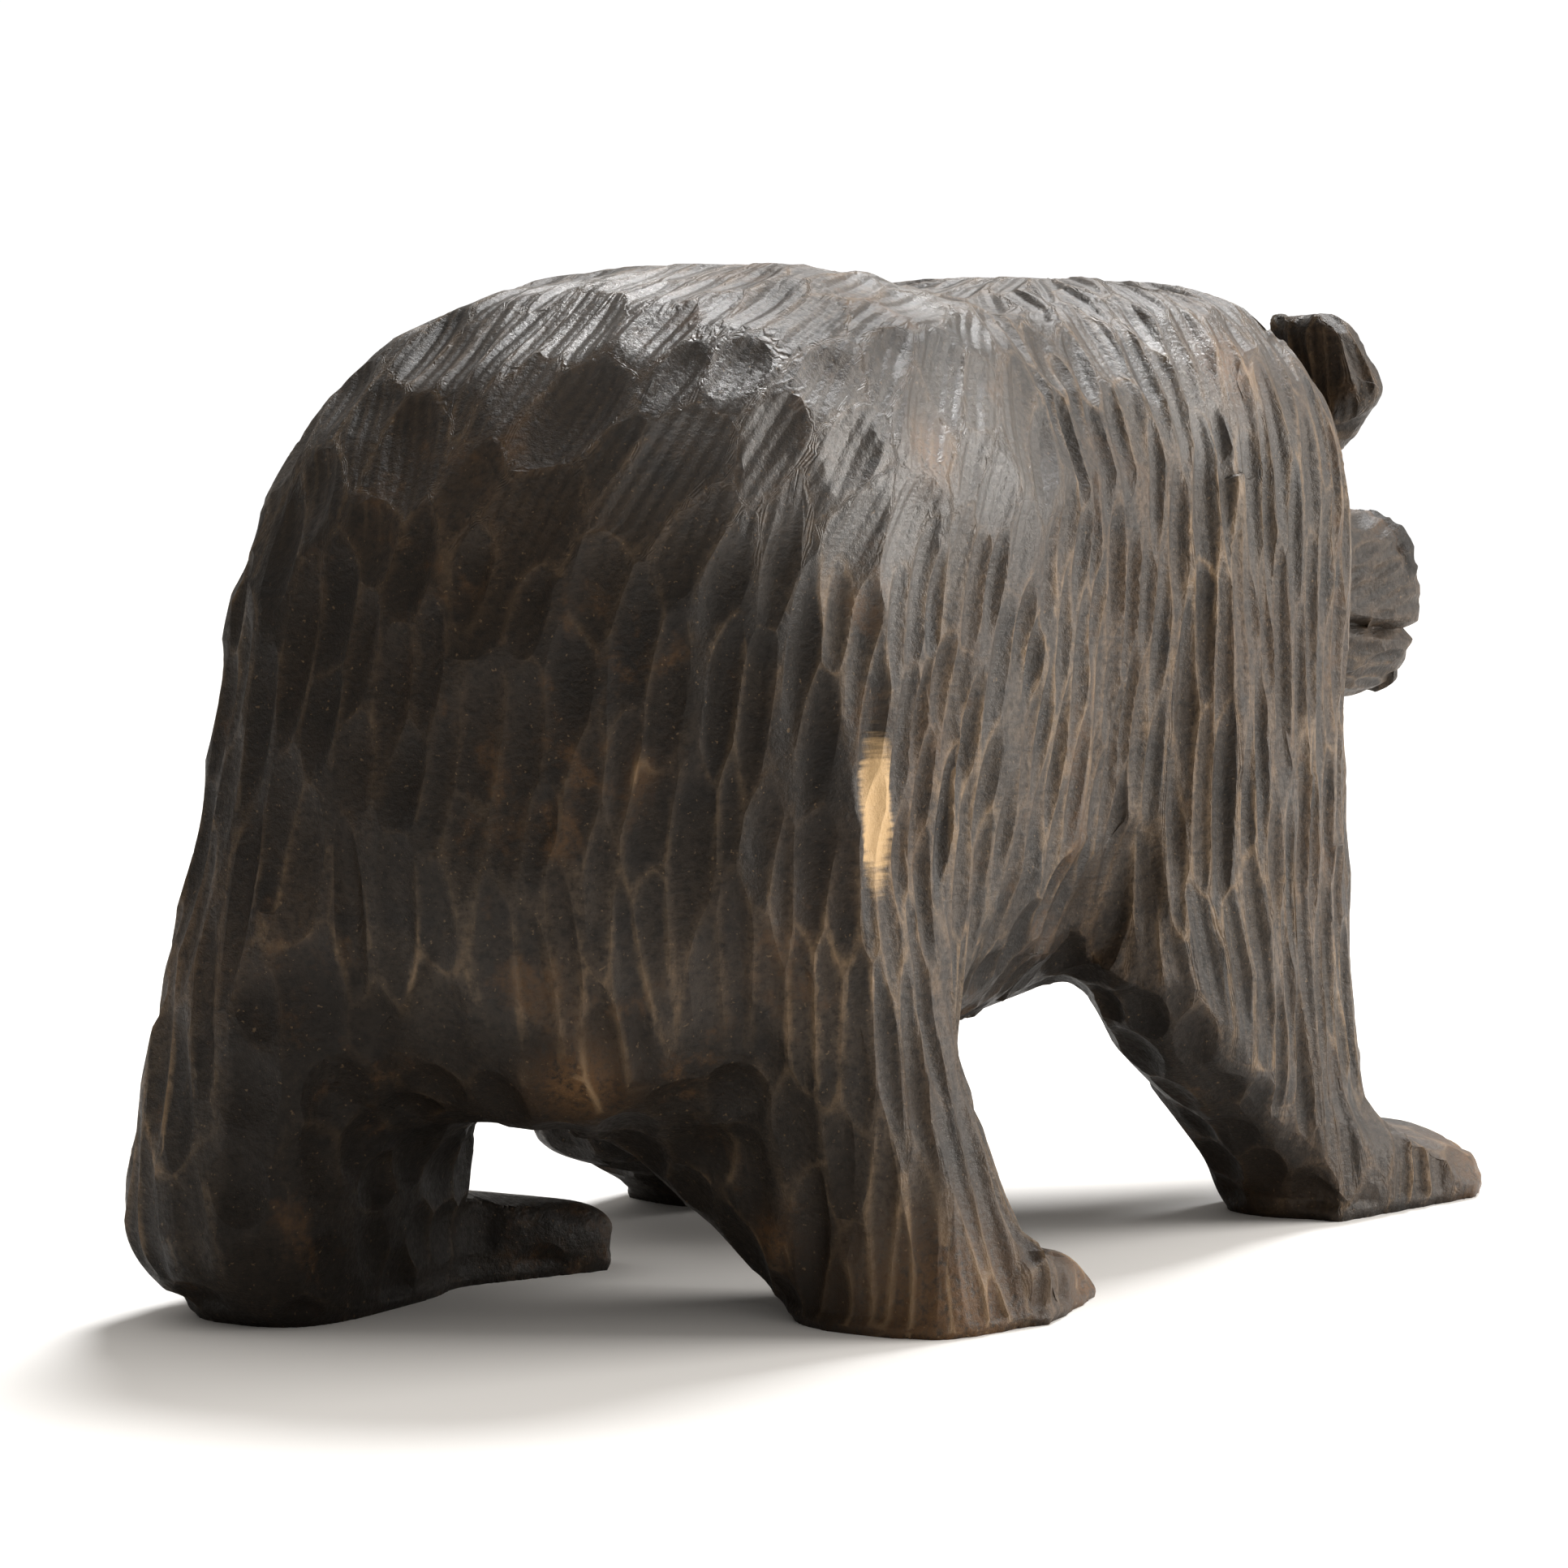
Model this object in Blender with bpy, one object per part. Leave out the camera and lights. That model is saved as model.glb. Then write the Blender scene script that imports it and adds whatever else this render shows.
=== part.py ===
"""A walking bear carved from one block of wood, with two glass bead eyes on wire pins.

The bear faces -Y, its right side is -X and its flat soles stand on z = 0. The origin is the middle of its
bounding box, at the floor. Sizes below are millimetres and become metres when a mesh is made.

The block is blocked out first as overlapping masses: a trunk, four legs, a neck and a turned head. Each
mass is a loft of rounded-square sections. They are fused, softened as a carver rounds them, and then the
paws, the ears, the flat soles and the drilled eye sockets are cut or added with Booleans.
"""

import math

import bmesh
import bpy
import numpy as np
from mathutils import Matrix, Vector

MM = 0.001

# The middle of the finished bear's box in the coordinates below, which becomes the origin: x, y.
MIDDLE = (-1.7, -9.5)

# Trunk sections from the rump to the chest: y, side nearest -X, side nearest +X, bottom, top, squareness.
TRUNK = (
    (118, 14, 36, 58, 88, 2.2),
    (113, 1, 46, 42, 106, 2.7),
    (105, -12, 51, 32, 122, 3.1),
    (94, -27, 53, 27, 135, 3.3),
    (82, -37, 54, 27, 144, 3.3),
    (66, -42, 54, 27, 149, 3.3),
    (45, -44, 52, 29, 151.5, 3.1),
    (20, -44, 48, 33, 150, 2.8),
    (-2, -43, 45, 36, 148, 2.7),
    (-20, -46, 48, 39, 150, 2.9),
    (-42, -50, 51, 44, 151.5, 3.1),
    (-62, -50, 50, 48, 150, 3.1),
    (-76, -43, 43, 58, 146, 2.8),
    (-88, -27, 28, 72, 136, 2.3),
)

# Leg sections from inside the trunk to the sole: z, x, y, half width, half length, squareness.
LEG_HIND_RIGHT = (
    (112, -16, 58, 10, 12, 2.4),
    (95, -19, 60, 17, 20, 2.5),
    (78, -20.5, 63.5, 20, 24.5, 2.7),
    (52, -21, 66, 24, 22, 3.0),
    (40, -17, 66, 28.5, 19.5, 3.2),
    (30, -15, 65, 33, 17, 3.6),
    (22, -22, 63, 29, 16, 3.6),
    (12, -30, 60.5, 22, 16, 3.2),
    (-4, -42, 60, 15, 17, 2.8),
)
LEG_HIND_LEFT = (
    (122, 28, 80, 14, 18, 2.4),
    (100, 31, 87, 20, 25, 2.6),
    (75, 34, 91, 20.5, 27, 2.8),
    (50, 38, 94, 19, 28, 3.2),
    (26, 43, 96, 17.5, 27, 3.8),
    (12, 44.5, 97, 17.5, 27, 4.2),
    (5, 43, 95, 15, 24, 4.2),
    (-4, 41, 91, 11, 19, 3.6),
)
LEG_FRONT_RIGHT = (
    (140, -22, -36, 12, 22, 2.4),
    (118, -27.5, -39, 18.5, 31, 2.6),
    (95, -31, -40.5, 19.5, 34, 2.8),
    (70, -34, -40, 18, 35, 2.8),
    (45, -38, -36, 14.5, 38, 2.8),
    (25, -41, -45, 13, 28, 2.8),
    (10, -43, -57, 12.5, 18, 3.0),
    (-4, -44, -62, 12.5, 14, 3.0),
)
LEG_FRONT_LEFT = (
    (140, 24, -36, 14, 24, 2.4),
    (118, 28, -38, 19, 30, 2.6),
    (95, 31, -37, 19, 32, 2.8),
    (70, 34, -34, 17, 31, 2.8),
    (45, 38, -24, 14, 34, 2.8),
    (25, 43, -8, 14, 33, 3.2),
    (13, 45, -8, 14.5, 32, 3.6),
    (4, 44, -21, 13, 18, 3.0),
    (-4, 44, -24, 12.5, 14, 3.0),
)

# The head turns about the neck by this much to the bear's right, seen from above.
HEAD_TURN = math.radians(-18)
HEAD_CENTRE = (-7.4, -96.6, 108.0)
# Head sections along its own facing direction: distance, half width, bottom, top, squareness.
HEAD = (
    (-46, 16, -24, 20, 2.2),
    (-28, 27, -33, 29, 2.3),
    (-10, 29.5, -34, 32, 2.4),
    (4, 26.5, -32, 29, 2.4),
    (12, 19, -29, 19, 2.4),
    (20, 14, -30, 8, 2.5),
    (30, 13.5, -29.5, 5, 2.6),
    (41, 12.5, -28, 5.5, 2.6),
    (46.5, 9.5, -22, 3, 2.5),
)

# An ear is a thick flat-topped plate. Its outline: outward from the middle, up from the middle.
EAR_OUTLINE = (
    (-11, -13),
    (-11, 10),
    (1, 10.5),
    (6.5, 6.5),
    (11.5, -3),
    (10.5, -6),
    (7, -9),
    (4, -14),
)
EAR_THICK = 10.0
# How the outline shrinks towards the plate's two faces: place through the thickness, size.
EAR_BEVEL = ((-1, 0.8), (-0.55, 1.0), (0.55, 1.0), (1, 0.8))
EAR_AHEAD = 2.0
EAR_OUT = 25.0
EAR_UP = 28.8

# Paw outlines on the floor, each corner with the height of the paw's top above it: x, y, top.
PAW_HIND_RIGHT = (
    (-50, 66, 13),
    (-58, 56, 11),
    (-55, 40, 9),
    (-53, 30, 3),
    (-38, 23, 4),
    (-24, 30, 6),
    (-20, 44, 8),
    (-33, 62, 10),
)
PAW_HIND_LEFT = (
    (48, 111, 15),
    (33, 77, 14),
    (20, 50, 10),
    (25, 43, 8),
    (38, 46, 9),
    (53, 62, 12),
    (58, 104, 15),
)
PAW_FRONT_RIGHT = (
    (-56, -46, 18),
    (-65, -82, 7),
    (-62, -91, 6),
    (-49, -101, 9),
    (-36, -95, 11),
    (-33, -56, 20),
)
PAW_FRONT_LEFT = (
    (34, -12, 16),
    (33, -44, 7),
    (42, -53, 6),
    (56, -46, 7),
    (57, -8, 16),
)

# The paws and legs run on below the floor, and a slab this big and deep cuts the soles flat.
BELOW_FLOOR = -4.0
SLAB_REACH = 200.0
SLAB_DEPTH = 30.0

# The masses are fused on this grid, softened, and thinned to this share of their faces.
VOXEL = 2.2
SOFTEN_TIMES = 26
THIN_RATIO = 0.085

# Eyes: a bead in a drilled socket and a wire pin behind it, along the head's own side direction.
EYE_AHEAD = 13.0
EYE_OUT = 14.5
EYE_UP = 9.0
EYE_R = 2.4
PIN_R = 0.6
PIN_LONG = 8.0
SOCKET_MOUTH = 30.0
EYES = ((1, "left"), (-1, "right"))
GAP = 0.35
ROD_SIDES = 16
BEAD_SEGMENTS = 16
BEAD_RINGS = 10

SECTION_POINTS = 28
FINE_STEP = 4.0


def clear_scene():
    """Leaves an empty scene."""
    for old in list(bpy.data.objects):
        bpy.data.objects.remove(old, do_unlink=True)


def material(name, colour, roughness, metallic=0.0):
    """A Principled BSDF material with one colour."""
    made = bpy.data.materials.new(name)
    made.use_nodes = True
    shader = made.node_tree.nodes["Principled BSDF"]
    shader.inputs["Base Color"].default_value = (*colour, 1.0)
    shader.inputs["Roughness"].default_value = roughness
    shader.inputs["Metallic"].default_value = metallic
    made.diffuse_color = (*colour, 1.0)
    return made


def to_metres(points):
    """Points of the blocking-out coordinates, in millimetres, in metres about the bear's middle."""
    return (np.asarray(points, float) - (*MIDDLE, 0.0)) * MM


def mesh_object(name, points, faces, made_of):
    """An object from points in millimetres; its faces are turned outward."""
    mesh = bpy.data.meshes.new(name)
    mesh.from_pydata(to_metres(points).tolist(), [], faces)
    bm = bmesh.new()
    bm.from_mesh(mesh)
    bmesh.ops.recalc_face_normals(bm, faces=bm.faces)
    bm.to_mesh(mesh)
    bm.free()
    mesh.materials.append(made_of)
    obj = bpy.data.objects.new(name, mesh)
    bpy.context.scene.collection.objects.link(obj)
    return obj


def superellipse(squareness):
    """Unit rounded square: |x|^n + |y|^n = 1, as two arrays around the section."""
    turn = np.linspace(0, 2 * np.pi, SECTION_POINTS, endpoint=False)
    power = 2 / squareness
    across, along = np.cos(turn), np.sin(turn)
    return (
        np.sign(across) * np.abs(across) ** power,
        np.sign(along) * np.abs(along) ** power,
    )


def loft(rings):
    """Points and faces of a tube through rings of equal point count, closed by a fan at each end."""
    count = len(rings[0])
    points = [point for ring in rings for point in ring]
    faces = []
    for level in range(len(rings) - 1):
        low, high = level * count, (level + 1) * count
        for i in range(count):
            j = (i + 1) % count
            faces.append((low + i, low + j, high + j, high + i))
    for ring, first in ((rings[0], 0), (rings[-1], (len(rings) - 1) * count)):
        points.append(np.mean(ring, axis=0))
        middle = len(points) - 1
        faces += [(middle, first + i, first + (i + 1) % count) for i in range(count)]
    return points, faces


def refined(sections):
    """The same sections with more in between, on a smooth curve through each column."""
    table = np.array(sections, float)
    slopes = np.gradient(table, axis=0)
    fine = []
    for i in range(len(table) - 1):
        steps = max(1, round(abs(table[i + 1, 0] - table[i, 0]) / FINE_STEP))
        for t in np.linspace(0, 1, steps, endpoint=False):
            hermite = (
                (2 * t**3 - 3 * t**2 + 1) * table[i]
                + (t**3 - 2 * t**2 + t) * slopes[i]
                + (3 * t**2 - 2 * t**3) * table[i + 1]
                + (t**3 - t**2) * slopes[i + 1]
            )
            fine.append(hermite)
    return fine + [table[-1]]


def trunk_mass():
    """The trunk: upright rounded-square sections from rump to chest."""
    rings = []
    for y, left, right, bottom, top, squareness in refined(TRUNK):
        across, up = superellipse(squareness)
        x = (left + right) / 2 + across * (right - left) / 2
        z = (bottom + top) / 2 + up * (top - bottom) / 2
        rings.append(np.stack([x, np.full_like(x, y), z], axis=1))
    return loft(rings)


def leg_mass(sections):
    """A leg: level rounded-square sections from inside the trunk down past the floor."""
    rings = []
    for z, x, y, half_wide, half_long, squareness in refined(sections):
        across, along = superellipse(squareness)
        level = np.full_like(across, z)
        rings.append(np.stack([x + across * half_wide, y + along * half_long, level], axis=1))
    return loft(rings)


def head_frame():
    """Places the head's own axes: +X its left side, -Y where it faces, +Z up."""
    return Matrix.Translation(Vector(HEAD_CENTRE)) @ Matrix.Rotation(HEAD_TURN, 4, "Z")


def placed(points, frame):
    return [frame @ Vector(point) for point in points]


def head_mass():
    """The head and muzzle: upright sections along the direction it faces."""
    rings = []
    for ahead, half_wide, bottom, top, squareness in refined(HEAD):
        across, up = superellipse(squareness)
        x = across * half_wide
        z = (bottom + top) / 2 + up * (top - bottom) / 2
        rings.append(np.stack([x, np.full_like(x, -ahead), z], axis=1))
    points, faces = loft(rings)
    return placed(points, head_frame()), faces


def ear_mass(side):
    """An ear: a bevelled plate across the head, side +1 for the left ear and -1 for the right."""
    rings = []
    for depth, size in EAR_BEVEL:
        out, up = np.array(EAR_OUTLINE).T * size
        rings.append(np.stack([side * out, np.full_like(out, depth * EAR_THICK / 2), up], axis=1))
    points, faces = loft(rings)
    at = Matrix.Translation(Vector((side * EAR_OUT, -EAR_AHEAD, EAR_UP)))
    return placed(points, head_frame() @ at), faces


def paw_mass(outline):
    """A paw: a flat wedge with a blunt toe, its outline on the floor and its own top over each corner."""
    points = [(x, y, BELOW_FLOOR) for x, y, top in outline] + list(outline)
    count = len(outline)
    faces = [tuple(range(count)), tuple(range(count, 2 * count))]
    faces += [(i, (i + 1) % count, count + (i + 1) % count, count + i) for i in range(count)]
    return points, faces


def joined_mesh(name, masses, made_of):
    """One helper object that holds several overlapping closed masses."""
    points, faces = [], []
    for mass_points, mass_faces in masses:
        start = len(points)
        points += [tuple(point) for point in mass_points]
        faces += [tuple(start + i for i in face) for face in mass_faces]
    return mesh_object(name, points, faces, made_of)


def helper(obj):
    """Marks a cutter or an added block that isn't itself a node."""
    obj.hide_render = True
    obj.display_type = "WIRE"
    return obj


def boolean(obj, other, operation):
    step = obj.modifiers.new(other.name, "BOOLEAN")
    step.operation = operation
    step.object = helper(other)
    step.solver = "EXACT"


def rod(name, radius, start, end, made_of):
    """A closed rod between two points of the head's frame, in millimetres."""
    start, end = Vector(start), Vector(end)
    turn = (end - start).to_track_quat("Z", "Y").to_matrix().to_4x4()
    at = head_frame() @ Matrix.Translation(start) @ turn
    angle = np.linspace(0, 2 * np.pi, ROD_SIDES, endpoint=False)
    rings = [
        [at @ Vector((radius * math.cos(a), radius * math.sin(a), height)) for a in angle]
        for height in (0, (end - start).length)
    ]
    return mesh_object(name, *loft(rings), made_of)


def bead(name, centre, made_of):
    """A glass bead with its middle at a point of the head's frame."""
    mesh = bpy.data.meshes.new(name)
    bm = bmesh.new()
    bmesh.ops.create_uvsphere(bm, u_segments=BEAD_SEGMENTS, v_segments=BEAD_RINGS, radius=EYE_R * MM)
    bm.to_mesh(mesh)
    bm.free()
    mesh.transform(Matrix.Translation(Vector(to_metres(head_frame() @ Vector(centre)))))
    mesh.shade_smooth()
    mesh.materials.append(made_of)
    obj = bpy.data.objects.new(name, mesh)
    bpy.context.scene.collection.objects.link(obj)
    return obj


def eye_line(side, out):
    """A point of the head's frame on the drilled line of one eye, this far from the head's middle."""
    return (side * out, -EYE_AHEAD, EYE_UP)


def drill_eye(body, side, name, wood):
    """Cuts the bead's socket and, behind it, the narrower hole of the wire pin."""
    floor_out = EYE_OUT - EYE_R - GAP
    pin_end = floor_out - PIN_LONG - 2 * GAP
    socket = rod(f"socket_{name}", EYE_R + GAP, eye_line(side, SOCKET_MOUTH), eye_line(side, floor_out), wood)
    hole = rod(f"pin_hole_{name}", PIN_R + GAP, eye_line(side, EYE_OUT), eye_line(side, pin_end), wood)
    boolean(body, socket, "DIFFERENCE")
    boolean(body, hole, "DIFFERENCE")


def eye(side, name, glass, steel):
    """One eye: the bead, and its pin behind it with a small gap."""
    bead(f"eye_bead_{name}", eye_line(side, EYE_OUT), glass)
    head_of_pin = EYE_OUT - EYE_R - GAP
    ends = (eye_line(side, head_of_pin), eye_line(side, head_of_pin - PIN_LONG))
    rod(f"eye_pin_{name}", PIN_R, *ends, steel)


def floor_slab(wood):
    """The slab under z = 0 that cuts the soles flat."""
    corners = [(-SLAB_REACH, -SLAB_REACH), (SLAB_REACH, -SLAB_REACH)]
    corners += [(SLAB_REACH, SLAB_REACH), (-SLAB_REACH, SLAB_REACH)]
    rings = [[(x, y, z) for x, y in corners] for z in (-SLAB_DEPTH, 0)]
    return mesh_object("floor_cut", *loft(rings), wood)


def carved_body(wood):
    """The whole carved block, with the soles cut flat and the eye sockets drilled."""
    legs = (LEG_HIND_RIGHT, LEG_HIND_LEFT, LEG_FRONT_RIGHT, LEG_FRONT_LEFT)
    masses = [trunk_mass(), head_mass()]
    masses += [leg_mass(sections) for sections in legs]
    paws = (PAW_HIND_RIGHT, PAW_HIND_LEFT, PAW_FRONT_RIGHT, PAW_FRONT_LEFT)
    body = joined_mesh("bear_body", masses, wood)
    fuse = body.modifiers.new("fuse", "REMESH")
    fuse.mode = "VOXEL"
    fuse.voxel_size = VOXEL * MM
    soften = body.modifiers.new("soften", "SMOOTH")
    soften.factor = 0.5
    soften.iterations = SOFTEN_TIMES
    thin = body.modifiers.new("thin", "DECIMATE")
    thin.ratio = THIN_RATIO
    for number, outline in enumerate(paws):
        boolean(body, mesh_object(f"paw_{number}", *paw_mass(outline), wood), "UNION")
    for side in (1, -1):
        boolean(body, mesh_object(f"ear_{side}", *ear_mass(side), wood), "UNION")
    boolean(body, floor_slab(wood), "DIFFERENCE")
    for side, name in EYES:
        drill_eye(body, side, name, wood)
    return body


def build():
    clear_scene()
    wood = material("dark_stained_wood", (0.035, 0.027, 0.022), 0.55)
    glass = material("black_glass_bead", (0.02, 0.015, 0.012), 0.08)
    steel = material("steel_wire", (0.45, 0.44, 0.42), 0.35, 1.0)
    carved_body(wood)
    for side, name in EYES:
        eye(side, name, glass, steel)


build()
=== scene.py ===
# %% [markdown]
# # A bear carved with gouges
#
# The real figure is one block of wood. A carver saws it out, rounds it, and then covers all of it with
# gouge cuts that run the way fur lies. Black-brown stain goes on last, and years of hands rub it off the
# sharp ridges between the cuts. The plain block is loaded below as a fixed frame, and this file adds the
# tool work, the eyes and the finish. Everything is in metres, the bear faces -Y and stands on z = 0.

# %% The frame
import math
import bpy
import numpy as np
from mathutils import Matrix, Vector


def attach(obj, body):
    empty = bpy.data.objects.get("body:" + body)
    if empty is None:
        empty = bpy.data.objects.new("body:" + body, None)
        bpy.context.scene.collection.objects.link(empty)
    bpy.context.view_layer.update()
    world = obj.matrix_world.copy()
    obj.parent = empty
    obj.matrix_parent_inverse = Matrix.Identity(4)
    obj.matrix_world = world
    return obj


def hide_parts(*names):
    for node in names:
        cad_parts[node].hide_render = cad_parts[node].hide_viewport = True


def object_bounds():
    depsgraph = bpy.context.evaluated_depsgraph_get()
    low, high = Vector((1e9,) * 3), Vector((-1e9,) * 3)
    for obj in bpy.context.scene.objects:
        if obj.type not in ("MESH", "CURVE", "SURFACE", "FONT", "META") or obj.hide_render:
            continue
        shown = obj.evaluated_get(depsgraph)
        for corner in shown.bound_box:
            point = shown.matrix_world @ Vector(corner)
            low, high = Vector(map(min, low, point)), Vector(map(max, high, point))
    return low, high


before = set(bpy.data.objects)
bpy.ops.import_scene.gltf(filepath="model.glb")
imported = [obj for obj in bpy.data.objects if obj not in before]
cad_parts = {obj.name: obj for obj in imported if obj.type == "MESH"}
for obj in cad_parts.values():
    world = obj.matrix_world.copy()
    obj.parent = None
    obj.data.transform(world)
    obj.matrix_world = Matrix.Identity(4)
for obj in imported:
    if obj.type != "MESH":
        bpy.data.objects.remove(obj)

cad_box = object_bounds()
MM = 0.001
print("frame:", sorted(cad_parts))

# %% [markdown]
# ## Camera
#
# The figure is seen from behind and from its right, a little above its hips, through a long lens. Places on
# the bear are given below in millimetres from the point where the carver started, between the hips and the
# chest. START is where that point lies in the frame, so one value moves everything if the block grows.

# %% Camera
LENS = 112.73
START = np.array([1.7, 9.5, 0.0])
EYE_PLACE = Vector((START + (-381.0, 667.0, 130.0)) * MM)
EYE_LOOK = Vector((0.515, -0.857, -0.0763))


def make_camera():
    """A camera at EYE_PLACE that looks along EYE_LOOK with a level horizon."""
    data = bpy.data.cameras.new("camera")
    data.lens = LENS
    data.clip_start = 0.05
    data.clip_end = 20
    camera = bpy.data.objects.new("camera", data)
    camera.location = EYE_PLACE
    camera.rotation_euler = EYE_LOOK.to_track_quat("-Z", "Y").to_euler()
    bpy.context.scene.collection.objects.link(camera)
    bpy.context.scene.camera = camera


make_camera()
print("view angle:", round(math.degrees(bpy.context.scene.camera.data.angle), 2), "degrees")

# %% [markdown]
# ## The rounded block
#
# The frame's block is faceted. Before any tool touches it, it has to be an even skin with small squares,
# because every cut is carved by moving those corners. A voxel remesh makes the even skin, a few rounds of
# smoothing take the facets away, and subdivision brings the squares down to less than half a millimetre. The
# head gets less smoothing, so the ears stay crisp, and the feet more, because they are rounder than the
# block's. The copy is merged first, since the frame's triangles are loose.

# %% The rounded block
SKIN_VOXEL = 1.7 * MM
SPLITS = 2
BODY_ROUNDS, FOOT_ROUNDS = 8, 12
HEAD_Y, HEAD_Z, HEAD_CALM = -84.0, 60.0, 0.75
FOOT_TOP, FOOT_FADE = 26.0, 8.0


def applied(obj):
    """Bakes all modifiers of obj into its mesh."""
    graph = bpy.context.evaluated_depsgraph_get()
    mesh = bpy.data.meshes.new_from_object(obj.evaluated_get(graph))
    obj.modifiers.clear()
    old, obj.data = obj.data, mesh
    bpy.data.meshes.remove(old)
    return obj


def copy_of_block(node, name):
    """A merged copy of a frame node as a new object."""
    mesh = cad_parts[node].data.copy()
    mesh.name = name
    obj = bpy.data.objects.new(name, mesh)
    bpy.context.scene.collection.objects.link(obj)
    weld = obj.modifiers.new("weld", "WELD")
    weld.merge_threshold = 0.02 * MM
    return applied(obj)


def smooth_step(low, high, value):
    """0 below low, 1 above high, and 3t^2 - 2t^3 between."""
    t = np.clip((value - low) / (high - low), 0.0, 1.0)
    return t * t * (3 - 2 * t)


def read_places(mesh):
    """Places of a mesh's corners, in millimetres from START, as an n by 3 array."""
    flat = np.empty(len(mesh.vertices) * 3, np.float32)
    mesh.vertices.foreach_get("co", flat)
    return flat.reshape(-1, 3).astype(np.float64) / MM - START


def write_places(mesh, places):
    """Moves a mesh's corners to places, given in millimetres from START."""
    mesh.vertices.foreach_set("co", ((places + START) * MM).astype(np.float32).ravel())
    mesh.update()


def relaxed(mesh, rounds, share_at):
    """Each round moves every corner half way, times its share, to the middle of its neighbours."""
    places = read_places(mesh)
    pairs = np.empty(len(mesh.edges) * 2, np.int32)
    mesh.edges.foreach_get("vertices", pairs)
    a, b = pairs.reshape(-1, 2).T
    count = np.bincount(pairs, minlength=len(places))[:, None]
    share = 0.5 * share_at(places)[:, None]
    for _ in range(rounds):
        total = np.stack(
            [
                np.bincount(a, places[b, k], len(places)) + np.bincount(b, places[a, k], len(places))
                for k in range(3)
            ],
            axis=1,
        )
        places = places + share * (total / count - places)
    write_places(mesh, places)


def body_share(p):
    """1 all over the body, going down by HEAD_CALM on the head, beyond HEAD_Y and above HEAD_Z."""
    beyond = smooth_step(0, -5, p[:, 1] - HEAD_Y)
    return 1 - HEAD_CALM * beyond * smooth_step(HEAD_Z, HEAD_Z + 6, p[:, 2])


def foot_share(p):
    """1 on the feet, 0 above FOOT_TOP, and 0 on the soles, so that they stay flat."""
    return smooth_step(FOOT_TOP, FOOT_TOP - FOOT_FADE, p[:, 2]) * smooth_step(0.2, 2.5, p[:, 2])


def even_skin(obj):
    """Remeshes to even squares, relaxes the facets away and subdivides."""
    cells = obj.modifiers.new("cells", "REMESH")
    cells.mode = "VOXEL"
    cells.voxel_size = SKIN_VOXEL
    applied(obj)
    relaxed(obj.data, BODY_ROUNDS, body_share)
    relaxed(obj.data, FOOT_ROUNDS, foot_share)
    split = obj.modifiers.new("split", "SUBSURF")
    split.levels = split.render_levels = SPLITS
    return applied(obj)


bear = even_skin(copy_of_block("bear_body", "carved_bear"))
print("skin:", len(bear.data.vertices), "corners")

# %% [markdown]
# ## Reading the skin
#
# From here on the skin is two arrays, places and normals, in millimetres. All the carving is whole-array
# arithmetic on them. The skin is first swollen a little, because the ridges between the cuts, not their
# floors, should end where the block's surface was.

# %% Reading the skin
SWELL = 0.9


def read_normals(mesh):
    """Corner normals as an n by 3 array."""
    flat = np.empty(len(mesh.vertices) * 3, np.float32)
    mesh.vertices.foreach_get("normal", flat)
    return flat.reshape(-1, 3).astype(np.float64)


def unit(rows):
    """Each row divided by its length."""
    return rows / np.maximum(np.linalg.norm(rows, axis=-1, keepdims=True), 1e-9)


def bump(value, middle, reach):
    """1 at middle, falling smoothly to 0 at reach from it."""
    return 1 - smooth_step(0.0, reach, np.abs(value - middle))


facing = read_normals(bear.data)
skin = read_places(bear.data) + facing * SWELL
print("skin spans", np.ptp(skin, axis=0).round(1), "mm")

# %% [markdown]
# ## Parts of the animal
#
# The size and direction of a cut depend on where it is: long flutes down a shoulder, scales over the hips,
# short scallops inside a leg. So each part of the body is a soft mask between 0 and 1, made from the place
# and the normal.

# %% Parts of the animal
HEAD_TURN = math.radians(-18)
HEAD_MIDDLE = np.array([-7.4, -96.6, 108.0])
HEAD_AXES = np.array(Matrix.Rotation(HEAD_TURN, 3, "Z"))
SPINE_Y = np.array([-80.0, -30.0, 15.0, 60.0, 110.0])
SPINE_X = np.array([-4.0, 0.0, 1.0, 5.0, 12.0])


def in_head_frame(p):
    """Places seen from the head: x towards its left, y away from where it faces, z up."""
    return (p - HEAD_MIDDLE) @ HEAD_AXES


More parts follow.
